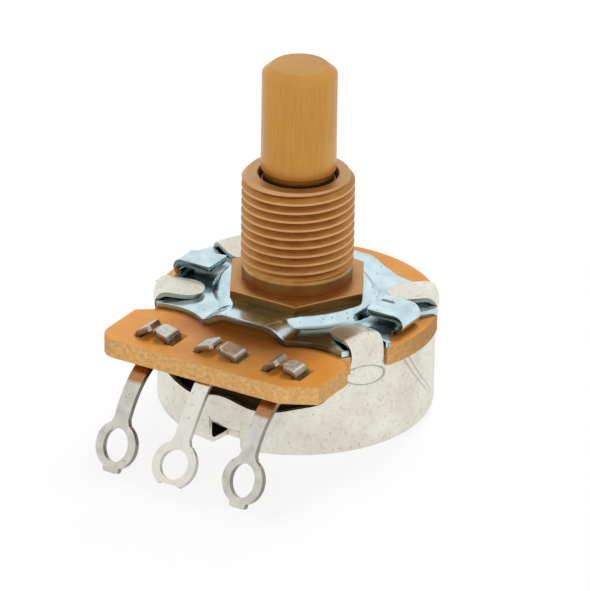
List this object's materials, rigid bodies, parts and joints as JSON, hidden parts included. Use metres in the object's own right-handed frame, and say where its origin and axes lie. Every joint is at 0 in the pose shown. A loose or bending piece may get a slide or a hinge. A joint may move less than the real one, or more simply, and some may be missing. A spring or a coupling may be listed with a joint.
{
  "type": "rotary potentiometer",
  "caption": "Panel-mount rotary potentiometer with a solid round brass shaft, threaded brass bushing, crimped steel can and a row of curved solder lugs.",
  "frame": {"origin": "on the shaft's axis at the top face of the hexagonal shoulder, which seats against the panel", "axes": "+Z along the shaft out of the panel, -Y towards the solder lugs, +X to the right of the lugs seen from the shaft's end"},
  "size_m": [0.024, 0.0327, 0.0315],
  "materials": {
    "shaft_brass": "turned",
    "bushing_brass": "turned",
    "zinc_steel": "blue zinc plated",
    "tin_steel": "tin plated",
    "lug_tin": "tin plated",
    "phenolic_board": "phenolic paper laminate",
    "carbon_track": "printed carbon",
    "moulding": "moulded",
    "bronze": "spring bronze",
    "spring_steel": "plain"
  },
  "bodies": {
    "housing": {"bushing": "bushing_brass", "mounting_plate": "zinc_steel", "terminal_board": "phenolic_board", "resistance_element": "carbon_track", "terminal_left": "lug_tin", "terminal_middle": "lug_tin", "terminal_right": "lug_tin", "can": "tin_steel"},
    "turning_shaft": {"shaft": "shaft_brass", "rotor": "moulding", "contact_spring": "bronze", "retaining_ring": "spring_steel", "thrust_washer": "bronze"}
  },
  "joints": [
    {"name": "shaft_turn", "type": "hinge", "parent": "housing", "child": "turning_shaft", "pos_m": [0, 0, 0], "axis": [0, 0, 1], "range_deg": [-150, 150]}
  ]
}
